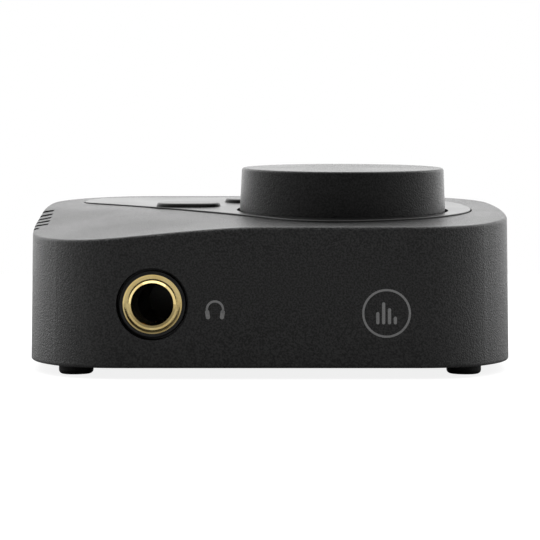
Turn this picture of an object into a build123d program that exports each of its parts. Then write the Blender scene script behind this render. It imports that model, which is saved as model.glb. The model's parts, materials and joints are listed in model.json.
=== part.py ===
"""Desktop audio interface with a large volume knob, modelled as its separate pieces.

Millimetres, +Z up, the front face towards -Y, the origin on the table under the centre of the case.
The underside is level. The top climbs towards the rear, and whatever sits on it is square to it:
those pieces are drawn on top_plane(w), where w is the height along the normal of the top and the
local origin is the axis of the knob.
"""

from build123d import *

import os
from math import atan, cos, exp, hypot, radians, sin, sqrt

# ---- Case -------------------------------------------------------------------------------------
FOOT_PROUD = 1.7  # the feet lift the underside this far off the table
FRONT_FLAT = 23.4  # half length of the straight front edge
SIDE_ARCS = ((14, 50), (30.5, 29.5), (164, 11), (19.5, 89.5))  # radius and angle, front corner to rear
FRONT_HEIGHT = 21.85  # underside to the top, at the front face
TOP_SLOPE = 0.1335  # rise of the top for each millimetre towards the rear
DRAFT = 0.57
WALL = 2.0
TOP_THICKNESS = 2.4
TOP_ROUND = 0.5
BOTTOM_ROUND = 0.5

# The facet that falls away to the front left corner, measured from its crease
CREASE_START = (-3.0, 0.0)  # x, and distance behind the front face
CREASE_END = (-43.3, 46.7)
CREASE_BULGE = 5.7  # how far the crease swings in around the knob
CREASE_BULGE_AT, CREASE_BULGE_REACH = 11.3, 9.5  # where along it, and how widely
CREASE_SOFTNESS = 2.0
FACET_FALL_FRONT = 0.037  # fall for each millimetre, at the front end of the crease
FACET_FALL_GAIN = 0.0033  # and how much steeper it gets for each millimetre along the crease

TOP_SECTIONS_X = [8 * number for number in range(-7, 8)]  # where the top is sectioned
TOP_SECTION_Y = [7 * number for number in range(-6, 7)]
SKY = 80  # a height well over everything

VENT_FIRST, VENT_PITCH = 21.9, 3.45  # distance of the first slot behind the front face, and between slots
VENT_ENDS = (-40.1, -39.1, -39.5, -39.9, -40.3, -40.7)  # x of each slot's inner end, front to rear
VENT_SIZE, VENT_DROP = (13.0, 1.5), 4.4  # and how far its middle lies below the top
COLUMN_R, COLUMN_PILOT_R, COLUMN_PILOT_DEPTH = 3.2, 1.05, 9.0  # screw columns of the shell
POST_R, SMALL_PILOT_R = 2.3, 0.85  # posts for the control board, and pilot holes of the small screws

# ---- Knob, panel and buttons -------------------------------------------------------------------
KNOB_X, KNOB_BACK = 13.0, 30.5  # knob axis: x, and distance behind the front face
KNOB_R_LOW, KNOB_R_HIGH = 18.5, 18.05
KNOB_LOW, KNOB_HIGH = -0.8, 7.65
KNOB_GAP = 0.5
PANEL_HEIGHT, PANEL_SLOPE = 22.1, 0.13  # plane that panel, buttons and knob are drawn from
PANEL_DEPTH = 1.2  # depth of the bed that holds the panel
PANEL_PROUD = 0.1
PANEL_GAP = 0.25
PANEL_ROUND = 0.12
PANEL_TIP = (-49.7, 21.3)  # where the outline starts, on its left side, seen from the knob axis
PANEL_ARCS = ((5.8, 53.5), (180, -16.2), (11.4, 66.7), (31, 52.6), (27.9, 23.4))  # to the right side
PANEL_SIDE = 12.3  # where the right side turns into the rear corner
PANEL_REAR_ARCS = (21.0, 9.0)  # radius of the right and the left rear corner
BUTTON_SIZE = (11.8, 6.4)
BUTTON_PROUD = 0.7
BUTTON_GAP = 0.2
BUTTON_ROUND = 0.4
STEM_R = 1.7  # stem under a button, over the plunger of its switch
BUTTON_PLACES = {"front": (-28.3, 8.2), "rear": (-15.9, 19.4)}
LIGHT_PLACES = ((-28.3, 14.2), (-15.9, 25.8))
LIGHT_R = 0.9
FLANGE = 0.85  # lip under the panel that keeps a button in
SWITCH_SIDE, SWITCH_HEIGHT = 6.0, 3.5
PLUNGER_R, PLUNGER_HEIGHT = 1.75, 1.5
KNOB_EDGE, KNOB_WALL, KNOB_ROOF = 0.45, 1.8, 6.3
HUB_LOW, HUB_R = 1.9, 4.8
SHAFT_R, SHAFT_LOW, SHAFT_HIGH, SHAFT_FLAT = 3.0, -7.5, 5.6, 1.5
SHAFT_CLEARANCE = 0.05
ENCODER_SIZE, ENCODER_TOP = (12.4, 13.2), -2.7
BUSHING_R, BUSHING_TOP = 4.5, 1.5
WASHER_R, WASHER_THICKNESS = 6.6, 0.5
NUT_R, NUT_THICKNESS = 6.0, 2.0
CONTROL_BOARD_TOP = -9.0
BOARD = 1.2  # thickness of both circuit boards

# ---- Sockets -----------------------------------------------------------------------------------
JACK_BORE_R = 3.225
JACK_HEIGHT = FOOT_PROUD + 9.9
JACK_BODY = 11.4
JACK_LENGTH, JACK_BACK = 30.2, 1.2  # length behind the wall, and thickness of the closed end
JACK_HOLE_R = 5.6
JACK_NOSE_R, JACK_NOSE_SUNK = 5.2, 0.3
FERRULE_R, FERRULE_LENGTH = 3.95, 9.0
FERRULE_FLANGE_R, FERRULE_FLANGE_DEEP = 4.58, 0.7
CONTACTS = ((-90, 11.0), (90, 16.5), (0, 11.0))  # turn about the axis, and depth of the window
CONTACT_WIDTH, CONTACT_LENGTH, CONTACT_REACH = 2.0, 9.0, 3.15
REAR_BAY = 0.8  # depth of the flat bay for the rear sockets
BAY_SIZE, BAY_MIDDLE = (56.5, 16.4), FOOT_PROUD + 10.3
FRONT_JACK_X = -18.2
REAR_JACKS = {"input": -19.5, "left_output": -4.5, "right_output": 10.5}
USB_X = 22.5
USB_SIZE, USB_LENGTH, USB_SHEET = (8.94, 3.26), 7.4, 0.3

# ---- Base --------------------------------------------------------------------------------------
BASE_THICKNESS = 1.8
BASE_TOP = FOOT_PROUD + BASE_THICKNESS
MAIN_BOARD_LOW = BASE_TOP + 1.1
MAIN_BOARD_TOP = MAIN_BOARD_LOW + BOARD
FOOT_PLACES = {
    "front_left": (-31.7, -24.1), "front_right": (31.7, -24.1),
    "rear_left": (-31.7, 24.1), "rear_right": (31.7, 24.1),
}
FOOT_R, FOOT_BED, FOOT_ROUND = 2.8, 0.6, 0.7
CASE_SCREWS = ((-35.0, -11.0), (35.0, -11.0), (-35.0, 15.0), (35.0, 15.0))
BOARD_SCREWS = ((-30.0, 0.5), (29.0, -1.0), (1.0, -27.0), (20.0, 14.0))
CONTROL_SCREWS = ((-16.5, -14.0), (14.5, 18.5), (-27.8, 18.8))
FLEX_PLACE, FLEX_SOCKET = (28.0, -21.0), 1.5

# ---- Worked out from the above -----------------------------------------------------------------
turned, CASE_DEPTH = 0.0, 0.0
for arc_radius, arc_angle in SIDE_ARCS:
    CASE_DEPTH += arc_radius * (cos(radians(turned)) - cos(radians(turned + arc_angle)))
    turned += arc_angle
FRONT = -CASE_DEPTH / 2
REAR = CASE_DEPTH / 2
TILT = atan(PANEL_SLOPE)
KNOB_Y = FRONT + KNOB_BACK

os.makedirs("parts", exist_ok=True)


def save(piece, name):
    """Label a finished piece and write it to its own file."""
    piece.part.label = name
    export_step(piece.part, f"parts/{name}.step")


def top_z(x, y):
    """Height of the finished top over the table: the sloping plane less the fall of the facet."""
    plane_z = FOOT_PROUD + FRONT_HEIGHT + TOP_SLOPE * (y - FRONT)
    run_x, run_y = CREASE_END[0] - CREASE_START[0], CREASE_END[1] - CREASE_START[1]
    length = hypot(run_x, run_y)
    from_x, from_y = x - CREASE_START[0], y - FRONT - CREASE_START[1]
    along = (from_x * run_x + from_y * run_y) / length
    swing = CREASE_BULGE * exp(-(((along - CREASE_BULGE_AT) / CREASE_BULGE_REACH) ** 2))
    past = (from_y * run_x - from_x * run_y) / length + swing
    past = (past + sqrt(past**2 + CREASE_SOFTNESS**2)) / 2
    return plane_z - (FACET_FALL_FRONT + FACET_FALL_GAIN * along) * past


def above_top(drop):
    """Everything above the top of the case lowered by drop, as one solid to cut away."""
    with BuildPart() as above:
        for x in TOP_SECTIONS_X:
            with BuildSketch(Plane.YZ.offset(x)) as section:
                with BuildLine() as border:
                    crest = Spline([(y, top_z(x, y) - drop) for y in TOP_SECTION_Y])
                    Polyline(crest @ 0, (TOP_SECTION_Y[0], SKY), (TOP_SECTION_Y[-1], SKY), crest @ 1)
                make_face(border.edges())
        loft()
    return above.part


def top_plane(w):
    """Plane square to the knob axis, w above the top, with its origin on the axis."""
    axis_z = FOOT_PROUD + PANEL_HEIGHT + PANEL_SLOPE * KNOB_BACK
    base = Plane(origin=(KNOB_X, KNOB_Y, axis_z), x_dir=(1, 0, 0), z_dir=(0, -sin(TILT), cos(TILT)))
    return base.offset(w)


def wall_plane(x, z, side):
    """Plane on the front (side -1) or rear (side +1) wall face, facing outwards."""
    face_y = REAR - REAR_BAY if side > 0 else FRONT
    return Plane(origin=(x, face_y, z), x_dir=(-side, 0, 0), z_dir=(0, side, 0))


def case_outline(inset=0.0):
    """Plan outline of the case, filled, pulled in by inset."""
    with BuildLine() as border:
        edge = Line((0, FRONT), (FRONT_FLAT, FRONT))
        for radius, angle in SIDE_ARCS:
            edge = JernArc(edge @ 1, edge % 1, radius, angle)
        Line(edge @ 1, (0, REAR))
        mirror(about=Plane.YZ)
    make_face(border.edges())
    if inset:
        offset(amount=-inset)


def panel_outline(grow=0.0):
    """Outline of the top panel: round the knob, along the facet and out to the rear left."""
    right_r, left_r = PANEL_REAR_ARCS
    with BuildLine() as border:
        edge, heading = PANEL_TIP, (0, -1)
        for radius, angle in PANEL_ARCS:
            bend = JernArc(edge, heading, radius, angle)
            edge, heading = bend @ 1, bend % 1
        side = Line(edge, (edge.X, PANEL_SIDE))
        corner = JernArc(side @ 1, (0, 1), right_r, 90)
        back = Line(corner @ 1, (PANEL_TIP[0] + left_r, (corner @ 1).Y))
        tip = JernArc(back @ 1, (-1, 0), left_r, 90)
        Line(tip @ 1, PANEL_TIP)
    make_face(border.edges())
    if grow:
        offset(amount=grow)


# ---- Case shell --------------------------------------------------------------------------------
with BuildPart() as cavity:
    with BuildSketch(Plane.XY.offset(FOOT_PROUD - 1)):
        case_outline(WALL)
    extrude(amount=SKY)
    add(above_top(TOP_THICKNESS), mode=Mode.SUBTRACT)
    # Screw columns stay solid inside the cavity, from the base plate to the ceiling.
    with BuildSketch(Plane.XY.offset(BASE_TOP + 0.1)):
        with Locations(*CASE_SCREWS):
            Circle(COLUMN_R)
    extrude(amount=SKY, mode=Mode.SUBTRACT)
    # So do three posts for the control board, square to the top.
    with BuildSketch(top_plane(CONTROL_BOARD_TOP)):
        with Locations(*CONTROL_SCREWS):
            Circle(POST_R)
    extrude(amount=SKY, mode=Mode.SUBTRACT)

with BuildPart() as top_shell:
    with BuildSketch(Plane.XY.offset(FOOT_PROUD)):
        case_outline()
    extrude(amount=36, taper=DRAFT)
    add(above_top(0), mode=Mode.SUBTRACT)
    roof = top_shell.faces().filter_by(GeomType.BSPLINE)[0]
    fillet(roof.edges(), TOP_ROUND)
    floor = top_shell.faces().sort_by(Axis.Z)[0]
    fillet(floor.edges(), BOTTOM_ROUND)
    add(cavity.part, mode=Mode.SUBTRACT)
    # Bed for the top panel, with openings for the knob bushing and the buttons
    with BuildSketch(top_plane(-PANEL_DEPTH)):
        panel_outline(PANEL_GAP)
    extrude(amount=12, mode=Mode.SUBTRACT)
    with BuildSketch(top_plane(-5)):
        Circle(BUSHING_R + 0.15)
        with Locations(*BUTTON_PLACES.values()):
            SlotOverall(BUTTON_SIZE[0] + 3.0, BUTTON_SIZE[1] + 3.0)
        with Locations(*LIGHT_PLACES):
            Circle(LIGHT_R + 0.2)
    extrude(amount=8, mode=Mode.SUBTRACT)
    # Flat bay and sockets at the rear
    with BuildSketch(wall_plane(0, BAY_MIDDLE, 1)):
        RectangleRounded(*BAY_SIZE, 3)
    extrude(amount=5, mode=Mode.SUBTRACT)
    for jack_x in REAR_JACKS.values():
        with BuildSketch(wall_plane(jack_x, JACK_HEIGHT, 1)):
            Circle(JACK_HOLE_R)
        extrude(amount=-4, mode=Mode.SUBTRACT)
    with BuildSketch(wall_plane(USB_X, MAIN_BOARD_TOP + USB_SIZE[1] / 2, 1)):
        SlotOverall(USB_SIZE[0] + 0.6, USB_SIZE[1] + 0.6)
    extrude(amount=-4, mode=Mode.SUBTRACT)
    with BuildSketch(wall_plane(FRONT_JACK_X, JACK_HEIGHT, -1)):
        Circle(JACK_HOLE_R)
    extrude(amount=-4, mode=Mode.SUBTRACT)
    # Ventilation slots over the left edge
    for number, inner_x in enumerate(VENT_ENDS):
        slot_y = FRONT + VENT_FIRST + VENT_PITCH * number
        middle = (inner_x, slot_y, top_z(inner_x, slot_y) - VENT_DROP)
        with BuildSketch(Plane(origin=middle, x_dir=(0, 1, 0), z_dir=(-1, 0, 0))):
            SlotOverall(*VENT_SIZE, rotation=90)
        extrude(amount=8, mode=Mode.SUBTRACT)
    # Pilot holes
    with BuildSketch(Plane.XY.offset(BASE_TOP)):
        with Locations(*CASE_SCREWS):
            Circle(COLUMN_PILOT_R)
    extrude(amount=COLUMN_PILOT_DEPTH, mode=Mode.SUBTRACT)
    with BuildSketch(top_plane(CONTROL_BOARD_TOP)):
        with Locations(*CONTROL_SCREWS):
            Circle(SMALL_PILOT_R)
    extrude(amount=5, mode=Mode.SUBTRACT)
save(top_shell, "top_shell")


# ---- Base plate, feet and screws ---------------------------------------------------------------
with BuildPart() as base_plate:
    with BuildSketch(Plane.XY.offset(FOOT_PROUD)):
        case_outline(WALL + 0.2)
    extrude(amount=BASE_THICKNESS)
    with BuildSketch(Plane.XY.offset(BASE_TOP)):
        with Locations(*BOARD_SCREWS):
            Circle(2.2)
    extrude(amount=MAIN_BOARD_LOW - BASE_TOP)
    with BuildSketch(Plane.XY.offset(FOOT_PROUD)):
        with Locations(*FOOT_PLACES.values()):
            Circle(FOOT_R + 0.1)
    extrude(amount=FOOT_BED, mode=Mode.SUBTRACT)
    with BuildSketch(Plane.XY.offset(FOOT_PROUD)):
        with Locations(*CASE_SCREWS):
            Circle(1.3)
    extrude(amount=BASE_THICKNESS, mode=Mode.SUBTRACT)
    with BuildSketch(Plane.XY.offset(FOOT_PROUD)):
        with Locations(*CASE_SCREWS):
            Circle(2.6)
    extrude(amount=1.0, mode=Mode.SUBTRACT)
    with BuildSketch(Plane.XY.offset(MAIN_BOARD_LOW)):
        with Locations(*BOARD_SCREWS):
            Circle(SMALL_PILOT_R)
    extrude(amount=-2.4, mode=Mode.SUBTRACT)
save(base_plate, "base_plate")

for corner, (x, y) in FOOT_PLACES.items():
    with BuildPart(Plane.XY) as foot:
        with BuildSketch():
            with Locations((x, y)):
                Circle(FOOT_R)
        extrude(amount=FOOT_PROUD + FOOT_BED)
        fillet(foot.edges().group_by(Axis.Z)[0], FOOT_ROUND)
    save(foot, f"foot_{corner}")


def screws(places, plane, head_r, head_high, shank_r, length):
    """A set of alike pan head screws: heads stand on the plane, shanks run into it, cross recess."""
    with BuildPart() as batch:
        with BuildSketch(plane):
            with Locations(*places):
                Circle(head_r)
        extrude(amount=head_high)
        fillet(batch.edges().filter_by(GeomType.CIRCLE).filter_by(
            lambda edge: abs(plane.to_local_coords(edge.center()).Z - head_high) < 0.01), head_high / 3)
        with BuildSketch(plane):
            with Locations(*places):
                Circle(shank_r)
        extrude(amount=-length)
        with BuildSketch(plane.offset(head_high)):
            with Locations(*places):
                Rectangle(head_r * 1.1, head_r * 0.25)
                Rectangle(head_r * 0.25, head_r * 1.1)
        extrude(amount=-head_high * 0.7, mode=Mode.SUBTRACT)
    return batch


underside = Plane(origin=(0, 0, FOOT_PROUD + 1.0), x_dir=(1, 0, 0), z_dir=(0, 0, -1))
save(screws([(x, -y) for x, y in CASE_SCREWS], underside, 2.4, 0.9, 1.0, 8.0), "base_screws")
board_face = Plane.XY.offset(MAIN_BOARD_TOP)
save(screws(BOARD_SCREWS, board_face, 1.8, 1.0, 0.8, 3.2), "main_board_screws")

# ---- Main board --------------------------------------------------------------------------------
with BuildPart() as main_board:
    with BuildSketch(Plane.XY.offset(MAIN_BOARD_LOW)):
        case_outline(WALL + 1.0)
        with Locations(*CASE_SCREWS):
            Circle(4.0, mode=Mode.SUBTRACT)
        with Locations(*BOARD_SCREWS):
            Circle(1.0, mode=Mode.SUBTRACT)
    extrude(amount=BOARD)
save(main_board, "main_board")


def block(name, x, y, size, low=MAIN_BOARD_TOP, soften=0.2):
    """A box-shaped component standing on the main board."""
    with BuildPart() as piece:
        with BuildSketch(Plane.XY.offset(low)):
            with Locations((x, y)):
                Rectangle(size[0], size[1])
        extrude(amount=size[2])
        chamfer(piece.faces().sort_by(Axis.Z)[-1].edges(), soften)
    save(piece, name)


block("codec_chip", 6.0, -12.0, (7.0, 7.0, 1.0))
block("controller_chip", 20.0, -14.0, (9.0, 9.0, 1.0))
block("amplifier_chip", -5.0, -24.0, (5.0, 5.0, 1.0))
block("crystal_can", 30.0, -10.0, (3.2, 2.5, 0.9), soften=0.15)
block("inductor", 29.0, 9.0, (5.0, 5.0, 3.0), soften=0.6)
with BuildPart() as capacitors:
    with BuildSketch(Plane.XY.offset(MAIN_BOARD_TOP)):
        with Locations((6.5, -24.5), (12.5, -24.5), (18.5, -24.5)):
            Circle(2.6)
    extrude(amount=5.4)
    fillet(capacitors.faces().group_by(Axis.Z)[-1].edges(), 0.4)
save(capacitors, "capacitors")


# ---- Jacks -------------------------------------------------------------------------------------
def side_on(plane):
    """Plane that holds the axis of another: its x stays, and its y is the other's outward normal."""
    return Plane(plane.origin, x_dir=plane.x_dir, z_dir=-plane.y_dir)


def turned_about_normal(plane, angle):
    """The same plane with its x and y turned about its normal."""
    return Plane(
        plane.origin,
        x_dir=plane.x_dir.rotate(Axis((0, 0, 0), plane.z_dir), angle),
        z_dir=plane.z_dir,
    )


def jack(prefix, x, side):
    """A 6.35 mm socket: black body with a round nose, gilt ferrule, and three leaf contacts."""
    mouth = wall_plane(x, JACK_HEIGHT, side)
    outward = Axis(mouth.origin, mouth.z_dir)
    behind_wall = -(WALL + 0.4) + (REAR_BAY if side > 0 else 0.0)

    with BuildPart() as body:
        with BuildSketch(mouth.offset(behind_wall)):
            RectangleRounded(JACK_BODY, JACK_BODY, 0.8)
        extrude(amount=-JACK_LENGTH)
        with BuildSketch(mouth.offset(behind_wall)):
            Circle(JACK_NOSE_R)
        extrude(amount=-behind_wall - JACK_NOSE_SUNK)
        fillet(body.faces().sort_by(outward)[-1].edges(), 0.3)
        for radius, depth in (
            (FERRULE_FLANGE_R + 0.04, FERRULE_FLANGE_DEEP),
            (FERRULE_R + 0.05, FERRULE_LENGTH),
            (JACK_BORE_R + 0.4, JACK_LENGTH - behind_wall - JACK_BACK),
        ):
            with BuildSketch(mouth):
                Circle(radius)
            extrude(amount=-depth, mode=Mode.SUBTRACT)
        # Windows in the sides let the contacts reach the bore.
        for turn, depth in CONTACTS:
            with BuildSketch(turned_about_normal(mouth, turn).offset(-depth)):
                with Locations((JACK_BODY / 4 + 0.8, 0)):
                    Rectangle(JACK_BODY / 2 + 1.6, CONTACT_WIDTH + 0.6)
            extrude(amount=-CONTACT_LENGTH, mode=Mode.SUBTRACT)
    save(body, f"{prefix}_body")

    lip, flange = JACK_BORE_R, FERRULE_FLANGE_R
    with BuildPart() as ferrule:
        with BuildSketch(side_on(mouth)):
            with BuildLine() as border:
                dish = ThreePointArc((lip + 0.44, -0.2), (lip + 0.8, -0.215), (flange - 0.2, -0.17))
                Polyline(
                    dish @ 1, (flange, -0.28), (flange, -FERRULE_FLANGE_DEEP),
                    (FERRULE_R, -FERRULE_FLANGE_DEEP), (FERRULE_R, -FERRULE_LENGTH),
                    (lip, -FERRULE_LENGTH), (lip, -0.1), (lip + 0.08, 0.1), dish @ 0,
                )
            make_face(border.edges())
        revolve(axis=outward)
    save(ferrule, f"{prefix}_ferrule")

    with BuildPart() as contacts:
        for turn, depth in CONTACTS:
            with BuildSketch(side_on(turned_about_normal(mouth, turn))):
                with BuildLine() as border:
                    near, far = -depth - 0.4, -depth - CONTACT_LENGTH + 0.4
                    Polyline(
                        (5.3, near), (3.7, near - 2.0), (CONTACT_REACH, near - 4.4),
                        (CONTACT_REACH, near - 5.2), (4.2, far), (4.5, far),
                        (CONTACT_REACH + 0.3, near - 5.2), (CONTACT_REACH + 0.3, near - 4.4),
                        (4.0, near - 2.0), (5.6, near), close=True,
                    )
                make_face(border.edges())
            extrude(amount=CONTACT_WIDTH / 2, both=True)
    save(contacts, f"{prefix}_contacts")


jack("headphone_jack", FRONT_JACK_X, -1)
for name, place in REAR_JACKS.items():
    jack(f"{name}_jack", place, 1)

# ---- USB connector -----------------------------------------------------------------------------
usb_mouth = wall_plane(USB_X, MAIN_BOARD_TOP + USB_SIZE[1] / 2 + 0.02, 1)
with BuildPart() as usb_shell:
    with BuildSketch(usb_mouth):
        SlotOverall(*USB_SIZE)
    extrude(amount=-USB_LENGTH)
    with BuildSketch(usb_mouth):
        SlotOverall(USB_SIZE[0] - 2 * USB_SHEET, USB_SIZE[1] - 2 * USB_SHEET)
    extrude(amount=-USB_LENGTH + USB_SHEET, mode=Mode.SUBTRACT)
save(usb_shell, "usb_shell")
with BuildPart() as usb_tongue:
    with BuildSketch(usb_mouth.offset(-USB_LENGTH + USB_SHEET + 0.05)):
        SlotOverall(USB_SIZE[0] - 2 * USB_SHEET - 0.1, USB_SIZE[1] - 2 * USB_SHEET - 0.1)
    extrude(amount=1.2)
    with BuildSketch(usb_mouth.offset(-USB_LENGTH + 1.4)):
        RectangleRounded(6.6, 0.7, 0.15)
    extrude(amount=USB_LENGTH - 2.0)
save(usb_tongue, "usb_tongue")

# ---- Top panel ---------------------------------------------------------------------------------
with BuildPart() as top_panel:
    with BuildSketch(top_plane(-PANEL_DEPTH + 0.05)):
        panel_outline()
    extrude(amount=PANEL_DEPTH + PANEL_PROUD - 0.05)
    fillet(top_panel.faces().sort_by(Axis((0, 0, 0), top_plane(0).z_dir))[-1].edges(), PANEL_ROUND)
    with BuildSketch(top_plane(-PANEL_DEPTH)):
        Circle(KNOB_R_LOW + KNOB_GAP)
        with Locations(*BUTTON_PLACES.values()):
            SlotOverall(BUTTON_SIZE[0] + 2 * BUTTON_GAP, BUTTON_SIZE[1] + 2 * BUTTON_GAP)
        with Locations(*LIGHT_PLACES):
            Circle(LIGHT_R + 0.05)
    extrude(amount=5, mode=Mode.SUBTRACT)
save(top_panel, "top_panel")

# ---- Buttons and their switches ----------------------------------------------------------------
switch_top = CONTROL_BOARD_TOP + SWITCH_HEIGHT
for name, place in BUTTON_PLACES.items():
    with BuildPart() as button:
        with BuildSketch(top_plane(-PANEL_DEPTH - FLANGE)):
            with Locations(place):
                SlotOverall(BUTTON_SIZE[0] + 2.2, BUTTON_SIZE[1] + 2.2)
        extrude(amount=FLANGE - 0.05)
        with BuildSketch(top_plane(-PANEL_DEPTH - 0.1)):
            with Locations(place):
                SlotOverall(*BUTTON_SIZE)
        extrude(amount=PANEL_DEPTH + 0.1 + PANEL_PROUD + BUTTON_PROUD)
        crown = button.faces().sort_by(Axis((0, 0, 0), top_plane(0).z_dir))[-1]
        fillet(crown.edges(), BUTTON_ROUND)
        with BuildSketch(top_plane(switch_top + PLUNGER_HEIGHT + 0.05)):
            with Locations(place):
                Circle(STEM_R)
        extrude(amount=-(switch_top + PLUNGER_HEIGHT + 0.05) - PANEL_DEPTH - FLANGE + 0.1)
    save(button, f"{name}_button")
    with BuildPart() as plunger:
        with BuildSketch(top_plane(switch_top - 0.4)):
            with Locations(place):
                Circle(PLUNGER_R)
        extrude(amount=PLUNGER_HEIGHT + 0.4)
    save(plunger, f"{name}_plunger")
    with BuildPart() as switch:
        with BuildSketch(top_plane(CONTROL_BOARD_TOP)):
            with Locations(place):
                Rectangle(SWITCH_SIDE, SWITCH_SIDE)
        extrude(amount=SWITCH_HEIGHT)
        with BuildSketch(top_plane(switch_top)):
            with Locations(place):
                Circle(PLUNGER_R + 0.1)
        extrude(amount=-1.0, mode=Mode.SUBTRACT)
    save(switch, f"{name}_switch")

# ---- Control board, lights and encoder ---------------------------------------------------------
with BuildPart() as control_board:
    with BuildSketch(top_plane(CONTROL_BOARD_TOP - 0.05)):
        with Locations((-1, 1.5)):
            RectangleRounded(39, 42, 4)
        with Locations((-24.5, 14.5)):
            RectangleRounded(23, 25, 3)
        with Locations(*CONTROL_SCREWS):
            Circle(1.0, mode=Mode.SUBTRACT)
    extrude(amount=-BOARD)
save(control_board, "control_board")
control_under = CONTROL_BOARD_TOP - 0.05 - BOARD
screw_face = top_plane(control_under)
screw_face = Plane(screw_face.origin, x_dir=(1, 0, 0), z_dir=-screw_face.z_dir)
save(screws([(x, -y) for x, y in CONTROL_SCREWS], screw_face, 1.7, 0.9, 0.8, 4.5),
     "control_board_screws")

with BuildPart() as indicator_leds:
    with BuildSketch(top_plane(CONTROL_BOARD_TOP)):
        with Locations(*LIGHT_PLACES):
            Rectangle(1.6, 0.8)
    extrude(amount=0.6)
save(indicator_leds, "indicator_leds")
with BuildPart() as light_pipes:
    with BuildSketch(top_plane(CONTROL_BOARD_TOP + 0.8)):
        with Locations(*LIGHT_PLACES):
            Circle(LIGHT_R)
    extrude(amount=-CONTROL_BOARD_TOP - 0.8 + PANEL_PROUD)
save(light_pipes, "light_pipes")

with BuildPart() as encoder_body:
    with BuildSketch(top_plane(CONTROL_BOARD_TOP)):
        RectangleRounded(*ENCODER_SIZE, 0.4)
    extrude(amount=ENCODER_TOP - CONTROL_BOARD_TOP)
    with BuildSketch(top_plane(SHAFT_LOW - 0.1)):
        Circle(SHAFT_R + SHAFT_CLEARANCE)
    extrude(amount=10, mode=Mode.SUBTRACT)
save(encoder_body, "encoder_body")
with BuildPart() as encoder_bushing:
    with BuildSketch(top_plane(ENCODER_TOP)):
        Circle(BUSHING_R)
        Circle(SHAFT_R + SHAFT_CLEARANCE, mode=Mode.SUBTRACT)
    extrude(amount=BUSHING_TOP - ENCODER_TOP)
    chamfer(encoder_bushing.faces().sort_by(
        Axis((0, 0, 0), top_plane(0).z_dir))[-1].outer_wire().edges(), 0.3)
save(encoder_bushing, "encoder_bushing")
with BuildPart() as encoder_washer:
    with BuildSketch(top_plane(-PANEL_DEPTH)):
        Circle(WASHER_R)
        Circle(BUSHING_R + 0.1, mode=Mode.SUBTRACT)
    extrude(amount=WASHER_THICKNESS)
save(encoder_washer, "encoder_washer")
with BuildPart() as encoder_nut:
    with BuildSketch(top_plane(-PANEL_DEPTH + WASHER_THICKNESS)):
        RegularPolygon(NUT_R, 6, major_radius=False)
        Circle(BUSHING_R + 0.05, mode=Mode.SUBTRACT)
    extrude(amount=NUT_THICKNESS)
save(encoder_nut, "encoder_nut")
with BuildPart() as encoder_shaft:
    with BuildSketch(top_plane(SHAFT_LOW)):
        Circle(SHAFT_R)
    extrude(amount=SHAFT_HIGH - SHAFT_LOW)
    with BuildSketch(top_plane(HUB_LOW - 0.3)):
        with Locations((0, SHAFT_FLAT + 5)):
            Rectangle(10, 10)
    extrude(amount=10, mode=Mode.SUBTRACT)
save(encoder_shaft, "encoder_shaft")

# ---- Knob --------------------------------------------------------------------------------------
with BuildPart() as volume_knob:
    with BuildSketch(side_on(top_plane(0))):
        with BuildLine() as border:
            Polyline(
                (0, KNOB_LOW), (KNOB_R_LOW, KNOB_LOW), (KNOB_R_HIGH, KNOB_HIGH), (0, KNOB_HIGH),
                close=True,
            )
        make_face(border.edges())
    revolve(axis=Axis(top_plane(0).origin, top_plane(0).z_dir))
    along = Axis((0, 0, 0), top_plane(0).z_dir)
    fillet(volume_knob.faces().sort_by(along)[-1].edges(), KNOB_EDGE)
    fillet(volume_knob.faces().sort_by(along)[0].edges(), 0.25)
    with BuildSketch(top_plane(KNOB_LOW)):
        Circle(KNOB_R_LOW - KNOB_WALL)
    extrude(amount=KNOB_ROOF - KNOB_LOW, mode=Mode.SUBTRACT)
    with BuildSketch(top_plane(HUB_LOW)):
        Circle(HUB_R)
    extrude(amount=KNOB_ROOF - HUB_LOW + 0.1)
    with BuildSketch(top_plane(HUB_LOW + 1.0)):
        for number in range(3):
            Rectangle(2 * (KNOB_R_LOW - KNOB_WALL) + 0.4, 1.0, rotation=60 * number)
    extrude(amount=KNOB_ROOF - HUB_LOW - 0.9)
    with BuildSketch(top_plane(HUB_LOW - 1)):
        Circle(SHAFT_R + SHAFT_CLEARANCE)
        with Locations((0, SHAFT_FLAT + SHAFT_CLEARANCE + 5)):
            Rectangle(10, 10, mode=Mode.SUBTRACT)
    extrude(amount=SHAFT_HIGH - HUB_LOW + 1.2, mode=Mode.SUBTRACT)
save(volume_knob, "volume_knob")

# ---- Flat cable between the boards -------------------------------------------------------------
with BuildPart() as main_flex_socket:
    with BuildSketch(Plane.XY.offset(MAIN_BOARD_TOP)):
        with Locations(FLEX_PLACE):
            Rectangle(8.0, 3.0)
    extrude(amount=FLEX_SOCKET)
save(main_flex_socket, "main_flex_socket")
flex_y = (FLEX_PLACE[1] - KNOB_Y) * cos(TILT)
with BuildPart() as control_flex_socket:
    with BuildSketch(top_plane(control_under)):
        with Locations((FLEX_PLACE[0] - KNOB_X, flex_y)):
            Rectangle(8.0, 3.0)
    extrude(amount=-FLEX_SOCKET)
save(control_flex_socket, "control_flex_socket")
lower = Vector(FLEX_PLACE[0], FLEX_PLACE[1], MAIN_BOARD_TOP + FLEX_SOCKET + 0.02)
upper = top_plane(control_under - FLEX_SOCKET - 0.02).from_local_coords(
    Vector(FLEX_PLACE[0] - KNOB_X, flex_y, 0))
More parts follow.
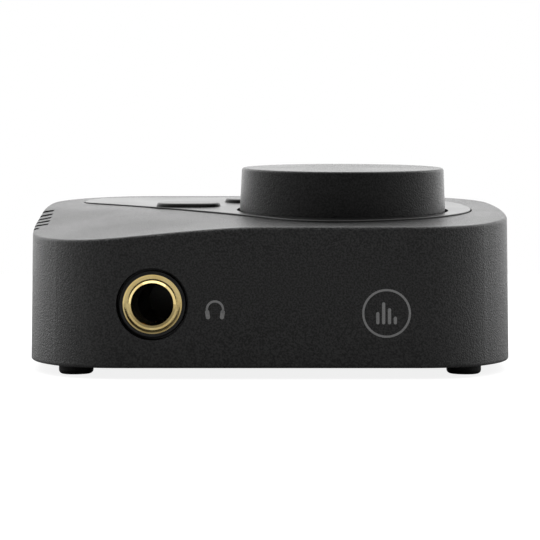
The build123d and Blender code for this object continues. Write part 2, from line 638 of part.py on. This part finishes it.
with BuildPart() as flex_cable:
    with BuildSketch(Plane(lower, x_dir=(0, 1, 0), z_dir=(1, 0, 0))):
        with BuildLine() as border:
            rise, shift = upper.Z - lower.Z, upper.Y - lower.Y
            ends = ((0, 0), (shift, rise))
            bow = ((3.2, rise * 0.34), (3.2 + shift, rise * 0.66))
            route = FilletPolyline(ends[0], (0, 1.2), bow[0], bow[1], (shift, rise - 1.2), ends[1],
                                   radius=0.8)
            offset(route, amount=0.15, side=Side.LEFT)
        make_face(border.edges())
    extrude(amount=3.0, both=True)
save(flex_cable, "flex_cable")
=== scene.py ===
"""Looks of the desktop audio interface: materials, printed marks, studio and camera.

Metres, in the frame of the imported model: +Z up, the front face towards -Y.
"""
import json
from math import cos, pi, radians, sin

import bmesh
import bpy
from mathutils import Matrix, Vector


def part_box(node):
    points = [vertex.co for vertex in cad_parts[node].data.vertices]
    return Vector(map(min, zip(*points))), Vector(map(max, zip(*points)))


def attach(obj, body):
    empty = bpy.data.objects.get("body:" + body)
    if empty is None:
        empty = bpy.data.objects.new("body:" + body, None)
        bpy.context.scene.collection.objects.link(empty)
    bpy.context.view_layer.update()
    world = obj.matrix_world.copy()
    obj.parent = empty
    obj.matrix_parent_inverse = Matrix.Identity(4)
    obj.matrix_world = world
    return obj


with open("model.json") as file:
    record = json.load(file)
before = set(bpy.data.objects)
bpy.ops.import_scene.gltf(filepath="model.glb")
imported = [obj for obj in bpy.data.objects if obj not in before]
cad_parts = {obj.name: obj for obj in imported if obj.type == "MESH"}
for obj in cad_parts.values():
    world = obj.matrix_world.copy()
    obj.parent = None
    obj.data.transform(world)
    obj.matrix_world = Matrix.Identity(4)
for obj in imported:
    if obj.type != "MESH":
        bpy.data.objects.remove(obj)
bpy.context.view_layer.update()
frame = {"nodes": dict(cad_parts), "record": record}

MM = 0.001
NODES = frame["nodes"]
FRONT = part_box("top_shell")[0].y
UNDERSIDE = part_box("top_shell")[0].z
OUTSIDE = 60 * MM  # from the middle, a place beyond every wall

# ---- Camera and light ----------------------------------------------------------------------------
CAMERA_BACK = 177.5 * MM  # from the front face to the camera
CAMERA_UP = 15.2 * MM  # from the underside of the case to the camera
CAMERA_LENS, CAMERA_SENSOR = 76.67, 36.0
BACKDROP_WHITE = 1.0
FRONT_LIGHT, BACK_LIGHT = 0.0, 1.95  # strength of the sky on the camera's side, and behind the object
LIGHT_POWER = 0.85  # how the sky grows from the one to the other
OVERHEAD_AT, OVERHEAD_SIZE, OVERHEAD_WATTS = (0, 0.2, 0.9), (1.2, 1.2), 4
FLOOR_SIZE = 8.0
FLOOR_ALBEDO = 0.38  # what the floor throws back on the object
FLOOR_GLOW, FLOOR_SHADE = 0.86, 0.30  # how it looks: a pale sweep with a faint shadow

# ---- Detail of the materials ---------------------------------------------------------------------
NOISE_SPAN = (0.3, 0.7)  # where most values of a noise lie
GRAIN_SPAN, GRAIN_GAIN = (0.4, 0.6), 2.3  # moulded grain, from black to this times the shade
CLOUD_SIZE, CLOUD_GLOSS = 14 * MM, 0.03  # patches of a little more and less gloss
SPECK_PITCH, SPECK_REACH, SPECK_GAIN = 1.6 * MM, 0.07, 2.5  # dust: spacing, share of it, brightness
BRUSH_SIZE, HAZE_SIZE, HAZE_SPAN = 0.3 * MM, 2.5 * MM, (0.4, 0.75)
TRACK_PITCH, PAD_PITCH, PAD_EDGE = 3 * MM, 2.4 * MM, (0.09, 0.12)
WEAVE_SIZE, WEAVE_RELIEF = 0.35 * MM, 0.01 * MM
LANE_PITCH, LANE_EDGE, LANE_RELIEF = 6.3 * MM, (0.45, 0.55), 0.02 * MM
INK_LEVEL, INK_GRAIN, INK_RELIEF = 0.25, 0.18 * MM, 0.01 * MM
COLOUR_A, COLOUR_B, COLOUR_OUT = 6, 7, 2  # the colour sockets of a Mix node

# ---- Printed marks, in millimetres ---------------------------------------------------------------
INK_THICKNESS = 0.02
STROKE = 0.34
HEADPHONES_AT = (-8.5, 9.1)  # x, and height over the underside
BAND_R, BAND_ENDS = 1.25, (205, -25)
CUP_AT, CUP_SIZE, CUP_LEAN = (1.14, -0.8), (1.45, 0.66), 9
LEVEL_AT, LEVEL_R = (18.0, 8.5), 3.6
LEVEL_BARS = ((-1.35, 1.9), (-0.45, 3.4), (0.45, 2.5), (1.35, 1.2))  # place across, and height
LEVEL_BAR_WIDTH = 0.5
REAR_MARK_UP = 17.0  # height of the marks behind the sockets, over the underside
ARROW_STROKE, WAVE_STROKE, SCREEN_STROKE, STAND_STROKE = 0.28, 0.2, 0.24, 0.28
WAVE_R, WAVE_STEP = 0.75, 0.5


class Graph:
    """Short hand for a node tree: nodes made with their settings, and links given as (node, output)."""

    def __init__(self, tree):
        self.tree = tree
        tree.nodes.clear()

    def node(self, kind, inputs=None, **settings):
        made = self.tree.nodes.new("ShaderNode" + kind)
        for name, value in settings.items():
            setattr(made, name, value)
        for name, value in (inputs or {}).items():
            if isinstance(value, tuple) and hasattr(value[0], "bl_idname"):
                source, socket = value
                self.tree.links.new(source.outputs[socket], made.inputs[name])
            else:
                made.inputs[name].default_value = value
        return made

    def ranged(self, source, span, to_low, to_high):
        """A value within a span, carried over to the range from to_low to to_high."""
        return (self.node("MapRange", {
            "Value": source, "From Min": span[0], "From Max": span[1], "To Min": to_low, "To Max": to_high,
        }), 0)

    def noise(self, place, size, detail=2.0, roughness=0.5, scale=(1, 1, 1)):
        """Noise with features of about that size in metres."""
        spread = self.node("Mapping", {"Vector": place, "Scale": scale})
        return (self.node("TexNoise", {
            "Vector": (spread, 0), "Scale": 1 / size, "Detail": detail, "Roughness": roughness,
        }), 0)

    def cells(self, place, pitch):
        """The distance from the middle of the nearest of many scattered cells."""
        return (self.node("TexVoronoi", {"Vector": place, "Scale": 1 / pitch}), "Distance")

    def math(self, operation, first, second):
        return (self.node("Math", {0: first, 1: second}, operation=operation), 0)

    def grey(self, level):
        return (self.node("CombineColor", {0: level, 1: level, 2: level}), 0)

    def mixed(self, factor, first, second):
        """From the first colour to the second, as the factor goes from 0 to 1."""
        inputs = {"Factor": factor, COLOUR_A: first, COLOUR_B: second}
        return (self.node("Mix", inputs, data_type="RGBA"), COLOUR_OUT)

    def bump(self, height, strength, distance):
        return (self.node("Bump", {"Height": height, "Strength": strength, "Distance": distance}), 0)


def new_material(name):
    """An empty node material, its graph, and the object coordinates in it."""
    mat = bpy.data.materials.new(name)
    mat.use_nodes = True
    graph = Graph(mat.node_tree)
    place = graph.node("TexCoord")
    return mat, graph, (place, "Object")


def surfaced(mat, graph, inputs):
    """The material, given a principled surface with these inputs."""
    surface = graph.node("BsdfPrincipled", inputs)
    graph.node("OutputMaterial", {"Surface": (surface, 0)})
    return mat


# ---- Studio --------------------------------------------------------------------------------------
def studio_world():
    """Soft light from behind, above and the sides, dark on the camera's side, plain white to look at."""
    world = bpy.data.worlds.new("studio")
    bpy.context.scene.world = world
    world.use_nodes = True
    graph = Graph(world.node_tree)
    place = graph.node("TexCoord")
    parts = graph.node("SeparateXYZ", {0: (place, "Generated")})
    share = graph.ranged((parts, "Y"), (-1.0, 1.0), 0.0, 1.0)
    bent = graph.math("POWER", share, LIGHT_POWER)
    strength = graph.ranged(bent, (0.0, 1.0), FRONT_LIGHT, BACK_LIGHT)
    light = graph.node("Background", {"Color": (1, 1, 1, 1), "Strength": strength})
    seen = graph.node("Background", {"Color": (1, 1, 1, 1), "Strength": BACKDROP_WHITE})
    path = graph.node("LightPath")
    mix = graph.node("MixShader", {0: (path, "Is Camera Ray"), 1: (light, 0), 2: (seen, 0)})
    graph.node("OutputWorld", {"Surface": (mix, 0)})


def floor():
    """A pale sweep, bright to look at, with a faint shadow under the object."""
    bpy.ops.mesh.primitive_plane_add(size=FLOOR_SIZE)
    plane = bpy.context.object
    plane.name = "floor"
    mat, graph, _ = new_material("floor_paint")
    dull = graph.node("BsdfDiffuse", {"Color": (FLOOR_ALBEDO, FLOOR_ALBEDO, FLOOR_ALBEDO, 1)})
    shade = graph.node("BsdfDiffuse", {"Color": (FLOOR_SHADE, FLOOR_SHADE, FLOOR_SHADE, 1)})
    glow = graph.node("Emission", {"Color": (1, 1, 1, 1), "Strength": FLOOR_GLOW})
    seen = graph.node("AddShader", {0: (shade, 0), 1: (glow, 0)})
    path = graph.node("LightPath")
    mix = graph.node("MixShader", {0: (path, "Is Camera Ray"), 1: (dull, 0), 2: (seen, 0)})
    graph.node("OutputMaterial", {"Surface": (mix, 0)})
    plane.data.materials.append(mat)


def area_light(name, place, target, size, watts):
    """A rectangular lamp at a place, turned to the target."""
    data = bpy.data.lights.new(name, "AREA")
    data.shape = "RECTANGLE"
    data.size, data.size_y = size
    data.energy = watts
    lamp = bpy.data.objects.new(name, data)
    bpy.context.scene.collection.objects.link(lamp)
    lamp.location = place
    aim = Vector(target) - Vector(place)
    lamp.rotation_euler = aim.to_track_quat("-Z", "Y").to_euler()


def camera():
    """A level camera in front of the middle of the case."""
    data = bpy.data.cameras.new("camera")
    data.lens, data.sensor_width = CAMERA_LENS, CAMERA_SENSOR
    data.clip_start, data.clip_end = 0.01, 20
    eye = bpy.data.objects.new("camera", data)
    bpy.context.scene.collection.objects.link(eye)
    eye.location = (0, FRONT - CAMERA_BACK, UNDERSIDE + CAMERA_UP)
    eye.rotation_euler = (pi / 2, 0, 0)
    bpy.context.scene.camera = eye


# ---- Materials -----------------------------------------------------------------------------------
def moulded(name, shade, roughness, grain, relief, tint=(1, 1, 1), specular=0.5):
    """Near-black moulded plastic or rubber: eroded grain, faint clouds of gloss, and specks of dust."""
    mat, graph, place = new_material(name)
    fine = graph.noise(place, grain, detail=2.5, roughness=0.6)
    clouds = graph.noise(place, CLOUD_SIZE, detail=4.0)
    level = graph.ranged(fine, GRAIN_SPAN, 0.0, shade * GRAIN_GAIN)
    dust = graph.ranged(graph.cells(place, SPECK_PITCH), (0.0, SPECK_REACH), shade * SPECK_GAIN, 0.0)
    total = graph.math("ADD", level, dust)
    channels = {number: graph.math("MULTIPLY", total, part) for number, part in enumerate(tint)}
    return surfaced(mat, graph, {
        "Base Color": (graph.node("CombineColor", channels), 0),
        "Roughness": graph.ranged(clouds, NOISE_SPAN, roughness - CLOUD_GLOSS, roughness + CLOUD_GLOSS),
        "Normal": graph.bump(fine, 1.0, relief),
        "IOR": 1.5,
        "Specular IOR Level": specular,
    })


def metal(name, colour, dark, roughness, brushed=(1, 1, 1), relief=0.004 * MM):
    """Plated or brushed metal: fine lines or handling haze, and dull patches."""
    mat, graph, place = new_material(name)
    lines = graph.noise(place, BRUSH_SIZE, detail=3.0, scale=brushed)
    haze = graph.noise(place, HAZE_SIZE, detail=4.0)
    dull = graph.ranged(haze, HAZE_SPAN, 0.0, 1.0)
    return surfaced(mat, graph, {
        "Base Color": graph.mixed(dull, (*colour, 1), (*dark, 1)),
        "Roughness": graph.ranged(lines, NOISE_SPAN, roughness - 0.05, roughness + 0.07),
        "Normal": graph.bump(lines, 0.6, relief),
        "Metallic": 1.0,
    })


def circuit_board(name):
    """Green solder mask over fine copper tracks, with pads and the weave showing through."""
    mat, graph, place = new_material(name)
    tracks = graph.node("TexBrick", {
        "Vector": place, "Scale": 1 / TRACK_PITCH, "Mortar Size": 0.05, "Mortar Smooth": 0.2,
        "Color1": (0.006, 0.050, 0.022, 1), "Color2": (0.007, 0.058, 0.026, 1),
        "Mortar": (0.016, 0.105, 0.048, 1), "Brick Width": 0.9, "Row Height": 0.45,
    })
    pad = graph.ranged(graph.cells(place, PAD_PITCH), PAD_EDGE, 1.0, 0.0)
    weave = graph.noise(place, WEAVE_SIZE, detail=1.0)
    return surfaced(mat, graph, {
        "Base Color": graph.mixed(pad, (tracks, "Color"), (0.55, 0.50, 0.38, 1)),
        "Roughness": graph.ranged(weave, NOISE_SPAN, 0.24, 0.36),
        "Normal": graph.bump(weave, 0.5, WEAVE_RELIEF),
    })


def clear_plastic(name):
    """Milky clear plastic of the light pipes and lights."""
    mat, graph, place = new_material(name)
    milk = graph.noise(place, 0.8 * MM, detail=3.0)
    return surfaced(mat, graph, {
        "Base Color": graph.grey(graph.ranged(milk, NOISE_SPAN, 0.5, 0.7)),
        "Roughness": graph.ranged(milk, NOISE_SPAN, 0.12, 0.3),
        "Transmission Weight": 0.5,
        "IOR": 1.49,
    })


def flat_cable(name):
    """Amber film with copper conductors along it."""
    mat, graph, place = new_material(name)
    wave = graph.node("TexWave", {"Vector": place, "Scale": 1 / LANE_PITCH}, bands_direction="X")
    lanes = (wave, 1)
    copper = graph.ranged(lanes, LANE_EDGE, 0.0, 1.0)
    grain = graph.noise(place, 0.4 * MM)
    return surfaced(mat, graph, {
        "Base Color": graph.mixed(copper, (0.42, 0.17, 0.03, 1), (0.60, 0.33, 0.12, 1)),
        "Roughness": graph.ranged(grain, NOISE_SPAN, 0.28, 0.4),
        "Normal": graph.bump(lanes, 0.5, LANE_RELIEF),
    })


def ink(name, level):
    """Pad-printed grey ink, a little broken over the grain."""
    mat, graph, place = new_material(name)
    grain = graph.noise(place, INK_GRAIN)
    return surfaced(mat, graph, {
        "Base Color": graph.grey(graph.ranged(grain, NOISE_SPAN, level * 0.85, level * 1.15)),
        "Roughness": graph.ranged(grain, NOISE_SPAN, 0.45, 0.6),
        "Normal": graph.bump(grain, 0.5, INK_RELIEF),
    })


# Moulded: shade, roughness, size of the grain, depth of the grain. Metal: colour, dull colour, roughness.
FINISHES = {
    "case_plastic": moulded("case_plastic", 0.011, 0.38, 0.28 * MM, 0.16 * MM, specular=0.45),
    "panel_plastic": moulded("panel_plastic", 0.009, 0.33, 0.20 * MM, 0.012 * MM),
    "knob_plastic": moulded("knob_plastic", 0.006, 0.34, 0.28 * MM, 0.09 * MM, specular=0.3),
    "button_plastic": moulded("button_plastic", 0.009, 0.36, 0.20 * MM, 0.010 * MM),
    "foot_rubber": moulded("foot_rubber", 0.006, 0.70, 0.30 * MM, 0.020 * MM),
    "jack_plastic": moulded("jack_plastic", 0.003, 0.30, 0.30 * MM, 0.010 * MM),
    "part_plastic": moulded("part_plastic", 0.020, 0.45, 0.25 * MM, 0.012 * MM, tint=(1, 1, 1.05)),
    "screw_steel": metal("screw_steel", (0.10, 0.10, 0.11), (0.05, 0.05, 0.05), 0.36),
    "gilt": metal("gilt", (0.98, 0.78, 0.36), (0.86, 0.62, 0.24), 0.10, relief=0.001 * MM),
    "contact_metal": metal("contact_metal", (0.86, 0.72, 0.42), (0.62, 0.50, 0.28), 0.25),
    "usb_steel": metal("usb_steel", (0.66, 0.66, 0.68), (0.45, 0.45, 0.46), 0.28, brushed=(1, 0.1, 1)),
    "plated_brass": metal("plated_brass", (0.74, 0.71, 0.64), (0.52, 0.48, 0.40), 0.24),
    "can_aluminium": metal("can_aluminium", (0.80, 0.80, 0.82), (0.62, 0.62, 0.64), 0.32),
    "board_laminate": circuit_board("board_laminate"),
    "clear_plastic": clear_plastic("clear_plastic"),
    "flex_film": flat_cable("flex_film"),
}
GREY_INK = ink("print_ink", INK_LEVEL)


def paint_nodes():
    """Each CAD node takes the finish of its material slot."""
    for part in frame["record"]["subparts"]:
        mesh = NODES[part["node"]].data
        mesh.materials.clear()
        mesh.materials.append(FINISHES[part["material_slot"]])


# ---- Printed marks -------------------------------------------------------------------------------
def arc(centre, radius, start, end, steps=24):
    """Points on an arc, angles in degrees."""
    turns = [radians(start + (end - start) * step / steps) for step in range(steps + 1)]
    return [(centre[0] + radius * cos(turn), centre[1] + radius * sin(turn)) for turn in turns]


def stroke(path, width, closed=False):
    """The quads of a line of that width along a path."""
    points = [Vector(point) for point in path]
    count = len(points)
    sides = []
    for number, point in enumerate(points):
        before = points[(number - 1) % count] if closed or number else point
        after = points[(number + 1) % count] if closed or number < count - 1 else point
        run = (after - before).normalized()
        across = Vector((-run.y, run.x)) * width / 2
        sides.append((point + across, point - across))
    pairs = zip(sides, sides[1:] + sides[:1]) if closed else zip(sides, sides[1:])
    return [(a[0], a[1], b[1], b[0]) for a, b in pairs]


def pill(centre, length, width, angle):
    """A closed outline with round ends, its long side turned by angle."""
    half, turn = (length - width) / 2, radians(angle)
    outline = arc((half, 0), width / 2, -90, 90, 10) + arc((-half, 0), width / 2, 90, 270, 10)
    return [(centre[0] + x * cos(turn) - y * sin(turn), centre[1] + x * sin(turn) + y * cos(turn))
            for x, y in outline]


def printed(name, shapes, x, height, side):
    """Lay flat shapes, in millimetres, on the front (side -1) or rear (side +1) wall of the case."""
    shell = NODES["top_shell"]
    start = Vector((x * MM, side * OUTSIDE, UNDERSIDE + height * MM))
    hit, place, normal, _ = shell.ray_cast(start, Vector((0, -side, 0)))
    if not hit:
        raise ValueError(f"{name} lies beside the case")
    right = Vector((0, 0, 1)).cross(normal).normalized()
    up = normal.cross(right)
    bm = bmesh.new()
    for shape in shapes:
        low = [place + (right * u + up * v) * MM for u, v in shape]
        base = [bm.verts.new(point) for point in low]
        top = [bm.verts.new(point + normal * INK_THICKNESS * MM) for point in low]
        bm.faces.new(top)
        bm.faces.new(list(reversed(base)))
        for number in range(len(base)):
            after = (number + 1) % len(base)
            bm.faces.new((base[number], base[after], top[after], top[number]))
    bmesh.ops.recalc_face_normals(bm, faces=bm.faces)
    mesh = bpy.data.meshes.new(name)
    bm.to_mesh(mesh)
    bm.free()
    mesh.materials.append(GREY_INK)
    piece = bpy.data.objects.new(name, mesh)
    bpy.context.scene.collection.objects.link(piece)
    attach(piece, "chassis")


# Each mark is a list of flat outlines, in millimetres about its middle.
def headphones():
    band = stroke(arc((0, 0), BAND_R, *BAND_ENDS), STROKE)
    cups = [pill((side * CUP_AT[0], CUP_AT[1]), *CUP_SIZE, 90 - side * CUP_LEAN) for side in (-1, 1)]
    return band + cups


def level_meter():
    ring = stroke(arc((0, 0), LEVEL_R, 0, 360, 48)[:-1], STROKE, closed=True)
    tallest = max(tall for _, tall in LEVEL_BARS)
    bars = [pill((across, (tall - tallest) / 2), tall, LEVEL_BAR_WIDTH, 90) for across, tall in LEVEL_BARS]
    return ring + bars


def arrow_in():
    return stroke([(-1.1, 0), (0.4, 0)], ARROW_STROKE) + [[(0.25, -0.6), (1.0, 0), (0.25, 0.6)]]


def loudspeaker(waves):
    shapes = [[(-1.2, -0.35), (-0.7, -0.35), (-0.1, -0.85), (-0.1, 0.85), (-0.7, 0.35), (-1.2, 0.35)]]
    for number in range(waves):
        shapes += stroke(arc((-0.3, 0), WAVE_R + WAVE_STEP * number, -45, 45, 10), WAVE_STROKE)
    return shapes


def computer():
    corners = [(-1.0, -0.3), (-1.0, 0.8), (1.0, 0.8), (1.0, -0.3)]
    return stroke(corners, SCREEN_STROKE, closed=True) + stroke([(-1.4, -0.75), (1.4, -0.75)], STAND_STROKE)


def rear_mark(socket, name, shapes):
    """A mark on the rear wall, over the middle of a socket."""
    low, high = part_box(socket)
    printed(name, shapes, (low.x + high.x) / 2 / MM, REAR_MARK_UP, 1)


# ---- Scene ---------------------------------------------------------------------------------------
paint_nodes()
printed("headphone_mark", headphones(), *HEADPHONES_AT, -1)
printed("level_mark", level_meter(), *LEVEL_AT, -1)
for jack, shapes in (
    ("input_jack", arrow_in()), ("left_output_jack", loudspeaker(1)), ("right_output_jack", loudspeaker(2)),
):
    rear_mark(jack + "_ferrule", jack + "_mark", shapes)
rear_mark("usb_shell", "computer_mark", computer())

studio_world()
floor()
area_light("overhead", OVERHEAD_AT, (0, 0, 0), OVERHEAD_SIZE, OVERHEAD_WATTS)
camera()
bpy.context.scene.view_settings.view_transform = "Standard"
